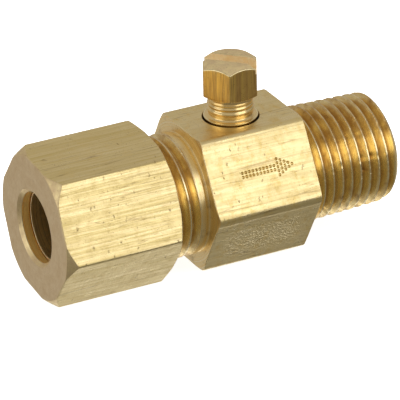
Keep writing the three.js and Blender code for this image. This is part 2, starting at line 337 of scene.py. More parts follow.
def ring_object(name, rings, angles, axis, closed):
    """A mesh object from rings, in metres, with its axis through the origin.

    closed joins the last ring to the first, for a shape that has a way through it.
    """
    along = np.array([ring[0] for ring in rings])
    radius = np.array([ring[1] for ring in rings])
    count, columns = along.shape
    first = radius * np.cos(angles)
    second = radius * np.sin(angles)
    stacked = (along, first, second) if axis == "x" else (first, second, along)
    points = np.stack(stacked, -1).reshape(-1, 3) * MM
    faces = []
    zones = []
    for i in range(count if closed else count - 1):
        k = (i + 1) % count
        zone = rings[k][2]
        for j in range(columns - 1):
            near = i * columns + j
            far = k * columns + j
            faces.append((near, far, far + 1, near + 1))
            zones.append(zone)
    mesh = bpy.data.meshes.new(name)
    mesh.from_pydata(points.tolist(), [], faces)
    mesh.polygons.foreach_set("material_index", zones)
    obj = bpy.data.objects.new(name, mesh)
    bpy.context.scene.collection.objects.link(obj)
    clean(obj)
    return obj


def clean(obj):
    """Joins points that coincide, drops faces with no area and turns every face outwards.

    A small gap that this opens is closed.
    """
    same_point = 2e-7
    no_length = 2e-8
    most_sides = 6
    work = bmesh.new()
    work.from_mesh(obj.data)
    bmesh.ops.remove_doubles(work, verts=work.verts, dist=same_point)
    bmesh.ops.dissolve_degenerate(work, edges=work.edges, dist=no_length)
    open_edges = [edge for edge in work.edges if edge.is_boundary]
    bmesh.ops.holes_fill(work, edges=open_edges, sides=most_sides)
    bmesh.ops.recalc_face_normals(work, faces=work.faces)
    if work.calc_volume(signed=True) < 0:
        bmesh.ops.reverse_faces(work, faces=work.faces)
    work.to_mesh(obj.data)
    work.free()


def subtract(obj, tool):
    """Cuts one closed mesh out of another, exactly, and removes the tool."""
    bpy.context.view_layer.update()
    modifier = obj.modifiers.new("subtract", "BOOLEAN")
    modifier.operation = "DIFFERENCE"
    modifier.solver = "EXACT"
    modifier.object = tool
    graph = bpy.context.evaluated_depsgraph_get()
    result = bpy.data.meshes.new_from_object(obj.evaluated_get(graph))
    obj.modifiers.clear()
    old = obj.data
    name = old.name
    obj.data = result
    bpy.data.meshes.remove(old)
    result.name = name
    bpy.data.objects.remove(tool)


def finish_piece(obj, materials, body, node):
    """Smooth shading up to a sharp edge, the finish, and the piece's place in the frame."""
    for material in materials:
        obj.data.materials.append(material)
    obj.data.polygons.foreach_set("use_smooth", [True] * len(obj.data.polygons))
    obj.data.set_sharp_from_angle(angle=SHARP_ANGLE)
    even = obj.modifiers.new("even_normals", "WEIGHTED_NORMAL")
    even.keep_sharp = True
    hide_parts(node)
    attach(obj, body)


# ---------------------------------------------------------------- valve body


def tube_thread_radius(dents, wear):
    """The compression thread's surface: it runs out into the band and is chamfered at the face."""
    runout_slope = 1.4

    def radius_at(x, depth_share, angles):
        runout = TUBE_MAJOR_R - np.maximum(BAND_START - x, 0) * runout_slope
        r = np.maximum(TUBE_MAJOR_R - depth_share * TUBE_DEPTH, runout)
        r = worn(r, x, depth_share, angles, TUBE_FRONT_CREST, TUBE_PITCH, wear, height=0.015)
        r = nicked(x, r, angles, dents)
        return np.minimum(r, TUBE_PILOT_R + (x - TUBE_FACE))

    return radius_at


def pipe_major_radius(x):
    """The taper thread's crest radius at a distance along the axis."""
    return PIPE_END_MAJOR_R + (PIPE_END - x) * PIPE_TAPER


def pipe_thread_radius(dents, wear):
    """The pipe thread's surface: shallow, with close tool lines, where it starts by the hexagon."""
    runout_length = 1.0
    line_spacing = 0.3

    def radius_at(x, depth_share, angles):
        beyond = np.clip((x - HEX_END) / runout_length, 0, 1)
        chased = 0.06 * (1 - beyond) * np.sin((x - HEX_END) * TURN / line_spacing)
        depth = PIPE_DEPTH * (0.45 + 0.55 * beyond)
        r = pipe_major_radius(x) - 0.2 * (1 - beyond) - depth * depth_share + chased
        r = worn(r, x, depth_share, angles, PIPE_FRONT_CREST, PIPE_PITCH, wear)
        r = nicked(x, r, angles, dents)
        return np.minimum(r, PIPE_FACE_R + (PIPE_END - x))

    return radius_at


def chamfer_slope(chamfer):
    """How far the chamfer runs along the axis for each step outwards."""
    face_radius, length = chamfer
    return length / (BAR_CORNER_DISTANCE - face_radius)


def hexagon_rings(radii, start, end, start_chamfer, end_chamfer, angles, dents, spacing=0.16):
    """Rings from one end face of a hexagon bar to the other, over its chamfers and flats."""
    rings = chamfer_rings(radii, start, 1, start_chamfer[0], chamfer_slope(start_chamfer))
    far = chamfer_rings(radii, end, -1, end_chamfer[0], chamfer_slope(end_chamfer))[::-1]
    low = rings[-1][0]
    high = far[0][0]
    count = round((end - start) / spacing)
    for step in range(1, count):
        x = low + (high - low) * step / count
        rings.append((x, nicked(x, radii, angles, dents), ZONES["drawn"]))
    far = [(x, r, ZONES["drawn"] if i == 0 else z) for i, (x, r, z) in enumerate(far)]
    return rings + far


def die_line(angles):
    """A faint ridge along the bar just past each corner, left by the drawing die."""
    sixth = TURN / 6
    height = 0.028
    half_width = 0.014
    off = (angles + sixth / 2) % sixth - sixth / 2
    return height * np.exp(-(((off - DIE_LINE_ANGLE) / half_width) ** 2))


def tube_end_rings(angles, wear):
    """The tube end's face, the compression thread, its band and the relief by the hexagon."""
    dents = nicks(seed=4, count=26, low=TUBE_FACE, high=BAND_END, depth=0.05)
    rings = plain_rings(
        angles, [(TUBE_FACE, SEAT_MOUTH_R), (TUBE_FACE, TUBE_PILOT_R - 0.1)], ZONES["turned"]
    )
    rings += thread_rings(
        angles,
        TUBE_FACE,
        BAND_START,
        TUBE_PITCH,
        TUBE_FRONT_CREST,
        tube_thread_radius(dents, wear),
    )
    rings += plain_rings(
        angles,
        [
            (BAND_START, TUBE_MAJOR_R),
            (BAND_END, TUBE_MAJOR_R),
            (BAND_END + 0.06, RELIEF_R),
            (HEX_START, RELIEF_R),
            (HEX_START, RELIEF_R + 0.4),
        ],
        ZONES["turned"],
        edge=0.07,
    )
    return rings


def pipe_end_rings(angles, wear):
    """The hexagon's end face, the taper pipe thread and the pipe end's face."""
    dents = nicks(seed=9, count=130, low=HEX_END + 0.4, high=PIPE_END - 0.1, depth=0.09)
    rings = plain_rings(
        angles, [(HEX_END, 6.0), (HEX_END, pipe_major_radius(HEX_END) - 0.1)], ZONES["turned"]
    )
    rings += thread_rings(
        angles,
        HEX_END,
        PIPE_END,
        PIPE_PITCH,
        PIPE_FRONT_CREST,
        pipe_thread_radius(dents, wear),
        "pipe",
    )
    rings += plain_rings(
        angles,
        [
            (PIPE_END, PIPE_FACE_R - 0.4),
            (PIPE_END, PIPE_BORE_R + 0.3),
            (PIPE_END - 0.3, PIPE_BORE_R),
        ],
        ZONES["turned"],
    )
    return rings


def gas_way_rings(angles):
    """The gas way: the pipe end's bore, the cross way, the tube's socket and the sleeve's seat."""
    return plain_rings(
        angles,
        [
            (PIPE_END - 0.5, PIPE_BORE_R),
            (PIPE_BORE_FLOOR, PIPE_BORE_R),
            (PIPE_BORE_FLOOR - (PIPE_BORE_R - WAY_R) * DRILL_SLOPE, WAY_R),
            (SOCKET_FLOOR + (SOCKET_R - WAY_R) * DRILL_SLOPE, WAY_R),
            (SOCKET_FLOOR, SOCKET_R),
            (TUBE_FACE + (SEAT_MOUTH_R - SOCKET_R) / SEAT_SLOPE, SOCKET_R),
            (TUBE_FACE + 0.2, SEAT_MOUTH_R - 0.2 * SEAT_SLOPE),
        ],
        ZONES["bore"],
    )


def body_rings(angles):
    radii = hexagon_radius(angles, BAR_AF, BAR_CORNER_R, 0) + die_line(angles)
    wear = crest_wear(seed=3, columns=len(angles))
    dents = nicks(seed=2, count=14, low=HEX_START + 0.5, high=HEX_END - 0.5, depth=0.02)
    rings = tube_end_rings(angles, wear)
    rings += hexagon_rings(
        radii, HEX_START, HEX_END, HEX_START_CHAMFER, HEX_END_CHAMFER, angles, dents
    )
    rings += pipe_end_rings(angles, wear)
    return rings + gas_way_rings(angles)


def stem_hole():
    """The tool that cuts the screw's hole, with a small break at the top edge."""
    angles = np.linspace(0, TURN, 121)
    end_r = TAPER_TOP_R - (STEM_BORE_FLOOR - TAPER_END) * TAPER_SLOPE
    points = [
        (TAPER_END - end_r * DRILL_SLOPE, 0),
        (TAPER_END, end_r),
        (STEM_BORE_FLOOR, TAPER_TOP_R),
        (STEM_BORE_FLOOR, STEM_BORE_R),
        (BAR_TOP - 0.05, STEM_BORE_R),
        (BAR_TOP + 0.1, STEM_BORE_R + 0.15),
        (BAR_TOP + 1, STEM_BORE_R + 0.15),
        (BAR_TOP + 1, 0),
    ]
    all_round = np.ones(len(angles))
    rings = [(z * all_round, r * all_round, ZONES["bore"]) for z, r in points]
    return ring_object("stem_hole", rings, angles, "z", False)


def flow_arrow_points():
    """Centres of the peened dots of a plain flow arrow, along and across the flat."""
    pitch = 0.35
    half_row = 0.18
    tip = 2.8
    head_columns = 5
    shaft_columns = 10
    points = []
    for column in range(head_columns):
        for row in range(-column, column + 1, 2):
            points.append((tip - column * pitch, row * half_row))
    for step in range(head_columns, head_columns + shaft_columns):
        points.append((tip - step * pitch, half_row))
        points.append((tip - step * pitch, -half_row))
    return points


def peened_dots():
    """Small cones that press a flow arrow into the front upper flat."""
    work = bmesh.new()
    facing = math.radians(150)
    normal = Vector((0, math.cos(facing), math.sin(facing)))
    across = Vector((0, -math.sin(facing), math.cos(facing)))
    depth = 0.18
    above = 0.02
    middle = Vector(((HEX_START + HEX_END) / 2 + 0.2, 0, 0))
    middle += normal * (BAR_TOP + above - depth / 2)
    for along, side in flow_arrow_points():
        centre = middle + Vector((along, 0, 0)) + across * side
        turn = Vector((0, 0, 1)).rotation_difference(normal).to_matrix().to_4x4()
        spot = Matrix.Translation(centre * MM) @ turn
        bmesh.ops.create_cone(
            work,
            cap_ends=True,
            segments=14,
            radius1=0.04 * MM,
            radius2=0.166 * MM,
            depth=depth * MM,
            matrix=spot,
        )
    mesh = bpy.data.meshes.new("peened_dots")
    work.to_mesh(mesh)
    work.free()
    obj = bpy.data.objects.new("peened_dots", mesh)
    bpy.context.scene.collection.objects.link(obj)
    return obj


def make_body(materials):
    angles = hexagon_angles(BAR_CORNER_R, BAR_AF, per_flat=32, per_corner=9, first_corner=0)
    obj = ring_object("valve_body_detail", body_rings(angles), angles, "x", True)
    subtract(obj, stem_hole())
    subtract(obj, peened_dots())
    obj.location.z = AXIS_Z
    finish_piece(obj, materials, "valve_body", "valve_body")
    return obj


# ---------------------------------------------------------------- adjusting screw


def nose_radius(height):
    """The needle's taper matches its seat, a little smaller, and is raised by the open screw."""
    lift = SCREW_TIP - TAPER_END
    clearance = 0.04
    return TAPER_TOP_R - (STEM_BORE_FLOOR + lift - height) * TAPER_SLOPE - clearance


def screw_thread_radius(x, depth_share, angles):
    return SCREW_MAJOR_R - depth_share * SCREW_DEPTH


def neck_profile(start, end):
    """The neck's soft turning ridges, larger towards the collar."""
    # Each ridge's height above the bar, how far it stands out, and its half width.
    ridges = ((0.94, 0.15, 0.17), (1.4, 0.11, 0.13), (1.76, 0.06, 0.1))
    points = []
    steps = 56
    for step in range(steps + 1):
        z = start + (end - start) * step / steps
        r = NECK_R
        for above, out, half_width in ridges:
            r += out * math.exp(-(((z - BAR_TOP - above) / half_width) ** 2))
        points.append((z, r))
    return points


def needle_rings(angles):
    """The screw's lower part: tapered nose, thread, seal groove and collar wall."""
    all_round = np.ones(len(angles))
    groove_low = SEAL_MIDDLE - GROOVE_HALF
    groove_high = SEAL_MIDDLE + GROOVE_HALF
    thread_end = groove_low - 0.25
    thread_start = thread_end - 2 * SCREW_PITCH
    nose_top = thread_start - 0.3
    shoulder_r = SCREW_MAJOR_R - SCREW_DEPTH
    rings = [(SCREW_TIP * all_round, 0 * all_round, ZONES["turned"])]
    rings += plain_rings(
        angles,
        [
            (SCREW_TIP, 0.02),
            (SCREW_TIP, nose_radius(SCREW_TIP)),
            (STEM_BORE_FLOOR + SCREW_TIP - TAPER_END + 0.1, TAPER_TOP_R - 0.02),
            (nose_top, shoulder_r - 0.1),
            (thread_start, shoulder_r),
        ],
        ZONES["turned"],
    )
    rings += thread_rings(
        angles, thread_start, thread_end, SCREW_PITCH, thread_start, screw_thread_radius
    )
    rings += plain_rings(
        angles,
        [
            (thread_end, SCREW_MAJOR_R),
            (groove_low, SCREW_MAJOR_R),
            (groove_low, GROOVE_R),
            (groove_high, GROOVE_R),
            (groove_high, SCREW_MAJOR_R),
            (COLLAR_TOP - 0.06, SCREW_MAJOR_R),
        ],
        ZONES["turned"],
    )
    return rings


def neck_rings(angles):
    """The collar's rim, pale from wear and a painted highlight, its top and the ridged neck up to
    the head.
    """
    rings = plain_rings(
        angles,
        [
            (COLLAR_TOP - 0.06, SCREW_MAJOR_R + 0.05),
            (COLLAR_TOP, SCREW_MAJOR_R + 0.06),
            (COLLAR_TOP + 0.02, SCREW_MAJOR_R - 0.08),
        ],
        # The rim takes the pale edge finish: worn, with a painted highlight.
        ZONES["thread"],
    )
    rings += plain_rings(
        angles,
        [
            (COLLAR_TOP, SCREW_MAJOR_R - 0.1),
            (COLLAR_TOP + 0.02, NECK_R + 0.16),
            (COLLAR_TOP + 0.14, NECK_R + 0.03),
            *neck_profile(COLLAR_TOP + 0.2, HEAD_BOTTOM - 0.05),
            (HEAD_BOTTOM, NECK_R),
            (HEAD_BOTTOM, 2.1),
        ],
        ZONES["turned"],
    )
    return rings


def head_rings(angles):
    """The hexagon head over its lower chamfer, flats and upper chamfer to the flat top."""
    radii = hexagon_radius(angles, HEAD_AF, HEAD_CORNER_R, HEAD_ANGLE)
    all_round = np.ones(len(angles))
    low_slope = math.tan(math.radians(28))
    high_slope = math.tan(math.radians(37))
    rings = chamfer_rings(radii, HEAD_BOTTOM, 1, 2.2, low_slope, edge=0.03)
    low = rings[-1][0]
    high = HEAD_TOP - (radii - HEAD_TOP_R) * high_slope
    flat_steps = 12
    for step in range(1, flat_steps):
        rings.append((low + (high - low - 0.06) * step / flat_steps, radii, ZONES["drawn"]))
    rings.append((high - 0.055, radii, ZONES["drawn"]))
    # The edge between the flats and the upper chamfer, in the pale edge finish: worn, with a
    # painted highlight.
    for down, inward in ((0.03, 0.006), (0.008, 0.022), (-0.012, 0.045), (-0.035, 0.075)):
        rings.append((high - down, radii - inward, ZONES["thread"]))
    # The softened rim of the flat top.
    for down, out in ((0.03, 0.045), (0.01, 0.01), (0.0, -0.04)):
        top = (HEAD_TOP - down) * all_round
        rings.append((top, (HEAD_TOP_R + out) * all_round, ZONES["faced"]))
    for r in (1.0, 0):
        rings.append((HEAD_TOP * all_round, r * all_round, ZONES["faced"]))
    return rings


def screw_rings(angles):
    return needle_rings(angles) + neck_rings(angles) + head_rings(angles)


def driver_slot():
    """The tool that cuts the driver slot, a little wider at the top edge."""
    half = SLOT_WIDTH / 2
    above = 0.5
    profile = [
        (-half, -SLOT_DEPTH),
        (half, -SLOT_DEPTH),
        (half, -SLOT_CHAMFER),
        (half + SLOT_CHAMFER, 0.0),
        (half + SLOT_CHAMFER, above),
        (-half - SLOT_CHAMFER, above),
        (-half - SLOT_CHAMFER, 0.0),
        (-half, -SLOT_CHAMFER),
    ]
    ends = (-HEAD_AF, HEAD_AF)
    points = [Vector((end, side, HEAD_TOP + up)) * MM for end in ends for side, up in profile]
    count = len(profile)
    faces = [tuple(range(count))[::-1], tuple(range(count, 2 * count))]
    for i in range(count):
        after = (i + 1) % count
        faces.append((i, after, count + after, count + i))
    mesh = bpy.data.meshes.new("driver_slot")
    mesh.from_pydata(points, [], faces)
    mesh.transform(Matrix.Rotation(SLOT_ANGLE, 4, "Z"))
    obj = bpy.data.objects.new("driver_slot", mesh)
    bpy.context.scene.collection.objects.link(obj)
    clean(obj)
    return obj


def mark_slot(obj):
    """Gives the slot's walls and floor their own finish, and its top edges the pale edge finish,
    worn with a painted highlight.
    """
    across = Vector((-math.sin(SLOT_ANGLE), math.cos(SLOT_ANGLE), 0))
    slack = 0.01
    reach = SLOT_WIDTH / 2 + SLOT_CHAMFER + slack / 2
    for face in obj.data.polygons:
        beside = abs(face.center.dot(across)) / MM
        below_top = HEAD_TOP - face.center.z / MM
        leaning = 0.3 < abs(face.normal.dot(across)) < 0.9
        if beside > reach or below_top > SLOT_DEPTH + slack:
            continue
        if leaning and below_top < SLOT_CHAMFER + slack:
            face.material_index = ZONES["thread"]
        elif beside < SLOT_WIDTH / 2 + slack:
            face.material_index = ZONES["bore"]


def make_screw(materials):
    angles = hexagon_angles(
        HEAD_CORNER_R, HEAD_AF, per_flat=20, per_corner=6, first_corner=HEAD_ANGLE
    )
    obj = ring_object("adjusting_screw_detail", screw_rings(angles), angles, "z", False)
    subtract(obj, driver_slot())
    mark_slot(obj)
    obj.location.z = AXIS_Z
    finish_piece(obj, materials, "adjusting_screw", "adjusting_screw")
    return obj


# ---------------------------------------------------------------- seal, nut and sleeve


def make_seal(materials):
    angles = np.linspace(0, TURN, 97)
    outer = (SEAL_HIGH.x - SEAL_LOW.x) / 2 / MM
    section = (SEAL_HIGH.z - SEAL_LOW.z) / 2 / MM
    all_round = np.ones(len(angles))
    steps = 28
    rings = []
    for step in range(steps):
        around = step * TURN / steps
        z = SEAL_MIDDLE + section * math.sin(around)
        r = outer - section + section * math.cos(around)
        rings.append((z * all_round, r * all_round, 0))
    obj = ring_object("stem_seal_ring_detail", rings, angles, "z", True)
    obj.location.z = AXIS_Z
    finish_piece(obj, materials, "stem_seal", "stem_seal_ring")
    return obj


def nut_thread_radius(x, depth_share, angles):
    """The nut's inner thread, which clears the body's and is countersunk at the rear face."""
    countersink = NUT_THREAD_R - (NUT_REAR - x)
    return np.maximum(NUT_THREAD_R - depth_share * (TUBE_DEPTH - 0.06), countersink)


def nut_rings(angles):
    radii = hexagon_radius(angles, BAR_AF, NUT_CORNER_R, NUT_ANGLE)
    dents = nicks(seed=7, count=22, low=NUT_FACE + 1, high=NUT_REAR - 0.5, depth=0.025)
    thread_end = TUBE_FACE - 0.4
    land_end = NUT_FACE + 0.98
    rings = plain_rings(
        angles, [(NUT_FACE, NUT_MOUTH_R), (NUT_FACE, NUT_MOUTH_R + 1)], ZONES["faced"]
    )
    rings += hexagon_rings(
        radii, NUT_FACE, NUT_REAR, NUT_FRONT_CHAMFER, NUT_REAR_CHAMFER, angles, dents
    )
    rings += plain_rings(
        angles, [(NUT_REAR, 6.1), (NUT_REAR, NUT_THREAD_R + 0.1)], ZONES["turned"]
    )
    rings += thread_rings(
        angles, thread_end, NUT_REAR, TUBE_PITCH, TUBE_FRONT_CREST, nut_thread_radius
    )[::-1]
    rings += plain_rings(
        angles,
        [
            (thread_end, NUT_THREAD_R),
            (land_end + NUT_THREAD_R - NUT_BORE_R, NUT_THREAD_R),
            (land_end, NUT_BORE_R),
            (NUT_FACE + 0.35, NUT_BORE_R),
        ],
        ZONES["bore"],
    )
    rings += plain_rings(
        angles,
        [(NUT_FACE + 0.3, NUT_BORE_R), (NUT_FACE + 0.02, NUT_MOUTH_R - 0.02)],
        ZONES["turned"],
    )
    return rings


def make_nut(materials):
    angles = hexagon_angles(
        NUT_CORNER_R, BAR_AF, per_flat=36, per_corner=6, first_corner=NUT_ANGLE
    )
    obj = ring_object("compression_nut_detail", nut_rings(angles), angles, "x", True)
    obj.location.z = AXIS_Z
    finish_piece(obj, materials, "nut", "compression_nut")
    return obj


def make_sleeve(materials):
    angles = np.linspace(0, TURN, 145)
    taper = (SLEEVE_R - SLEEVE_END_R) / SEAT_SLOPE
    rings = plain_rings(
        angles,
        [
            (SLEEVE_FACE, SLEEVE_BORE_R + 0.01),
            (SLEEVE_FACE, SLEEVE_END_R),
            (SLEEVE_FACE + taper, SLEEVE_R),
            (SLEEVE_REAR - taper, SLEEVE_R),
            (SLEEVE_REAR, SLEEVE_END_R),
            (SLEEVE_REAR, SLEEVE_BORE_R + 0.01),
        ],
        0,
    )
    rings += plain_rings(
        angles, [(SLEEVE_REAR, SLEEVE_BORE_R), (SLEEVE_FACE + 0.01, SLEEVE_BORE_R)], 1
    )
    obj = ring_object("compression_sleeve_detail", rings, angles, "x", True)
    obj.location.z = AXIS_Z
    finish_piece(obj, materials, "sleeve", "compression_sleeve")
    return obj


# ---------------------------------------------------------------- materials


class Finish:
    """A Principled material and short calls that add nodes to it."""

    def __init__(self, name, metallic):
        self.material = bpy.data.materials.new(name)
        self.material.use_nodes = True
        self.tree = self.material.node_tree
        self.shader = self.tree.nodes["Principled BSDF"]
        self.shader.inputs["Metallic"].default_value = metallic
        self.position = self.add("ShaderNodeTexCoord").outputs["Object"]

    def add(self, kind, **settings):
        node = self.tree.nodes.new(kind)
        for key, value in settings.items():
            setattr(node, key, value)
        return node

    def feed(self, socket, value):
        if isinstance(value, bpy.types.NodeSocket):
            self.tree.links.new(value, socket)
        else:
            socket.default_value = value

    def stretched(self, x, y, z):
        """Object coordinates in millimetres, times a number along each axis."""
        node = self.add("ShaderNodeMapping")
        self.feed(node.inputs["Vector"], self.position)
        node.inputs["Scale"].default_value = (x / MM, y / MM, z / MM)
        return node.outputs["Vector"]

    def millimetres(self):
        """The object coordinates X, Y and Z, each alone, in millimetres."""
        split = self.add("ShaderNodeSeparateXYZ")
        self.feed(split.inputs[0], self.stretched(1, 1, 1))
        return split.outputs

    def noise(self, vector, scale=1.0, detail=3.0, roughness=0.5):
        node = self.add("ShaderNodeTexNoise")
        self.feed(node.inputs["Vector"], vector)
        node.inputs["Scale"].default_value = scale
        node.inputs["Detail"].default_value = detail
        node.inputs["Roughness"].default_value = roughness
        return node.outputs["Fac"]

    def sums(self, operation, a, b=0.0):
        node = self.add("ShaderNodeMath", operation=operation)
        self.feed(node.inputs[0], a)
        self.feed(node.inputs[1], b)
        return node.outputs[0]

    def span(self, value, low, high, to_low=0.0, to_high=1.0):
        """value from low to high mapped to a new range, and held at its ends."""
        node = self.add("ShaderNodeMapRange", clamp=True)
        self.feed(node.inputs["Value"], value)
        node.inputs["From Min"].default_value = low
        node.inputs["From Max"].default_value = high
        node.inputs["To Min"].default_value = to_low
        node.inputs["To Max"].default_value = to_high
        return node.outputs["Result"]

    def blend(self, share, a, b):
        """Colour a where share is 0 and colour b where it is 1."""
        node = self.add("ShaderNodeMix", data_type="RGBA")
        self.feed(node.inputs["Factor"], share)
        self.feed(node.inputs["A"], a)
        self.feed(node.inputs["B"], b)
        return node.outputs["Result"]

    def radial(self, axis):
        """Distance along the axis and from it, in millimetres: as one vector, then each alone."""
        parts = self.millimetres()
        along, first, second = ("X", "Y", "Z") if axis == "x" else ("Z", "X", "Y")
        square = self.sums(
            "ADD",
            self.sums("POWER", parts[first], 2.0),
            self.sums("POWER", parts[second], 2.0),
        )
        radius = self.sums("SQRT", square)
        join = self.add("ShaderNodeCombineXYZ")
        self.feed(join.inputs["X"], parts[along])
        self.feed(join.inputs["Y"], radius)
        return join.outputs[0], parts[along], radius

    def bump(self, height, distance, strength=1.0, normal=None):
        node = self.add("ShaderNodeBump")
        node.inputs["Strength"].default_value = strength
        node.inputs["Distance"].default_value = distance * MM
        self.feed(node.inputs["Height"], height)
        if normal is not None:
            self.feed(node.inputs["Normal"], normal)
        return node.outputs["Normal"]

    def set(self, colour, roughness, normal):
        self.feed(self.shader.inputs["Base Color"], colour)
        self.feed(self.shader.inputs["Roughness"], roughness)
        self.feed(self.shader.inputs["Normal"], normal)
        return self.material


PALE_BRASS = (0.93, 0.77, 0.42, 1)
OLIVE_BRASS = (0.78, 0.62, 0.25, 1)
AMBER_BRASS = (0.97, 0.66, 0.19, 1)
DEEP_BRASS = (0.78, 0.44, 0.12, 1)
BROWN_BRASS = (0.52, 0.31, 0.11, 1)
# Pale brass: real wear, and the painted highlight on thread crests and bright edges.
WEAR_AND_HIGHLIGHT_BRASS = (0.97, 0.83, 0.52, 1)
DULL_BRASS = (0.84, 0.68, 0.44, 1)
DULL_TAN = (0.74, 0.57, 0.34, 1)
MELLOW_BRASS = (0.86, 0.65, 0.25, 1)
FLANK_PALE = (0.98, 0.81, 0.41, 1)
FLANK_GOLD = (0.94, 0.69, 0.27, 1)
TURNED_PALE = (0.96, 0.82, 0.50, 1)
TURNED_GOLD = (0.95, 0.68, 0.26, 1)
SLOT_PALE = (0.97, 0.88, 0.68, 1)
SLOT_GOLD = (0.90, 0.70, 0.38, 1)
NECK_PALE = (0.95, 0.76, 0.39, 1)
NECK_GOLD = (0.88, 0.60, 0.23, 1)
DARK_OLIVE = (0.52, 0.36, 0.13, 1)
DARK_BROWN = (0.34, 0.23, 0.09, 1)
TARNISH = (0.28, 0.17, 0.07, 1)
RUBBER_BLACK = (0.012, 0.012, 0.013, 1)
RUBBER_GREY = (0.03, 0.03, 0.032, 1)


def peened_patch(look):
    """An even stipple over part of the body's front lower flat. It is 0 elsewhere."""
    parts = look.millimetres()
    # Each soft border in millimetres: its axis, where the stipple is gone and where it is full.
    borders = (
        ("X", -4.2, -2.4),
        ("X", 4.4, 2.6),
        ("Y", -3.0, -3.4),
        ("Z", -1.0, -2.4),
        ("Z", -5.4, -4.0),
    )
    texture = look.noise(look.stretched(4.5, 4.5, 4.5), detail=1.0)
    share = look.span(texture, 0.45, 0.6)
    for axis, gone, full in borders:
        share = look.sums("MULTIPLY", share, look.span(parts[axis], gone, full))
    return share


def drawn_brass(
    name,
    axis,
    pale=PALE_BRASS,
    gold=OLIVE_BRASS,
    streak=0.8,
    mottled=0.4,
    fine=6.0,
    marked=0.6,
    peened=False,
):
    """Bright drawn bar: streaks along the bar, golden mottling, brown lines and dark specks."""
    look = Finish(name, 1.0)
    coarse = 0.16
    stretch = (coarse, fine, fine) if axis == "x" else (fine, fine, coarse)
    streaks = look.noise(look.stretched(*stretch), detail=3.0, roughness=0.6)
    broad = look.noise(look.stretched(*[size * 0.3 for size in stretch]), detail=2.0)
    longer = look.stretched(*[size * 0.2 for size in stretch])
    lines = look.noise(longer, scale=1.7, detail=1.0)
    mottle = look.noise(look.stretched(1.3, 0.9, 0.9), detail=5.0, roughness=0.7)
    grain = look.noise(look.stretched(7, 7, 7), detail=2.0)
    colour = look.blend(look.span(streaks, 0.4, 0.62, 0, streak), pale, gold)
    colour = look.blend(look.span(broad, 0.5, 0.68, 0, streak * 0.7), colour, gold)
    colour = look.blend(look.span(mottle, 0.5, 0.68, 0, mottled), colour, MELLOW_BRASS)
    thin = look.sums("ABSOLUTE", look.sums("SUBTRACT", lines, 0.5))
    colour = look.blend(look.span(thin, 0.0, 0.01, 0.45, 0.0), colour, TARNISH)
    colour = look.blend(look.span(grain, 0.66, 0.74, 0, 0.5), colour, TARNISH)
    marks = look.noise(look.stretched(2.4, 1.3, 1.3), detail=3.0, roughness=0.6)
    colour = look.blend(look.span(marks, 0.69, 0.73, 0, marked), colour, TARNISH)
    streak_rough = look.span(streaks, 0.35, 0.65, 0.26, 0.4)
    rough = look.sums("ADD", streak_rough, look.span(mottle, 0.4, 0.7, 0, 0.1))
    normal = look.bump(streaks, 0.016)
    normal = look.bump(look.span(marks, 0.66, 0.72), 0.02, normal=normal)
    normal = look.bump(grain, 0.008, normal=normal)
    normal = look.bump(mottle, 0.03, normal=normal)
    if peened:
        patch = peened_patch(look)
        colour = look.blend(look.span(patch, 0, 1, 0, 0.3), colour, WEAR_AND_HIGHLIGHT_BRASS)
        normal = look.bump(patch, 0.035, normal=normal)
    return look.set(colour, rough, normal)


def turned_brass(name, axis, pale, gold, base_rough=0.28, groove=0.01, metallic=1.0):
    """Turned brass: fine rings round the axis, with a little tarnish."""
    look = Finish(name, metallic)
    rings_at, _, _ = look.radial(axis)
    rings = look.noise(rings_at, scale=7.0, detail=3.0, roughness=0.6)
    mottle = look.noise(look.stretched(0.8, 0.8, 0.8), detail=5.0, roughness=0.6)
    colour = look.blend(look.span(rings, 0.38, 0.65), pale, gold)
    colour = look.blend(look.span(mottle, 0.54, 0.76, 0, 0.6), colour, TARNISH)
    rough = look.span(rings, 0.3, 0.7, base_rough - 0.05, base_rough + 0.07)
    return look.set(colour, rough, look.bump(rings, groove))


def threaded_brass(name, crest_r, taper, depth):
    """Cut thread: pale crests, partly worn and partly a painted highlight, golden flanks, roots
    browned as painted shade, patches of grime, and patchy painted shade towards the thread's top
    and bottom.
    """
    look = Finish(name, 1.0)
    rings_at, along, radius = look.radial("x")
    local_crest = look.sums("SUBTRACT", crest_r, look.sums("MULTIPLY", along, taper))
    deep = look.sums("DIVIDE", look.sums("SUBTRACT", local_crest, radius), depth)
    tool_lines = look.noise(rings_at, scale=8.0, detail=2.0)
    grime = look.noise(look.stretched(1.6, 0.7, 0.7), detail=3.0, roughness=0.6)
    colour = look.blend(look.span(tool_lines, 0.4, 0.65), FLANK_PALE, FLANK_GOLD)
    # Painted shade: the thread's roots are browned where shade falls between the flanks.
    colour = look.blend(look.span(deep, 0.6, 1.0, 0, 0.6), colour, BROWN_BRASS)
    # Painted highlight: the crests are turned pale, partly for wear and partly to stand in for the
    # light they catch.
    colour = look.blend(look.span(deep, 0.0, 0.07), WEAR_AND_HIGHLIGHT_BRASS, colour)
    colour = look.blend(look.span(grime, 0.5, 0.68, 0, 0.55), colour, BROWN_BRASS)
    colour = look.blend(look.span(grime, 0.66, 0.74, 0, 0.8), colour, TARNISH)
    # Painted shade: patchy brown towards the top and bottom of the thread, where it is shaded.
    height = look.sums("ABSOLUTE", look.millimetres()["Z"])
    shaded_top_and_bottom = look.sums("MULTIPLY", look.span(height, 2.4, 4.4), look.span(grime, 0.3, 0.55))
    colour = look.blend(look.span(shaded_top_and_bottom, 0, 1, 0, 0.45), colour, BROWN_BRASS)
    line_rough = look.span(tool_lines, 0.3, 0.7, 0.22, 0.3)
    rough = look.sums("ADD", line_rough, look.span(grime, 0.45, 0.7, 0, 0.12))
    normal = look.bump(tool_lines, 0.006)
    return look.set(colour, rough, look.bump(grime, 0.01, normal=normal))


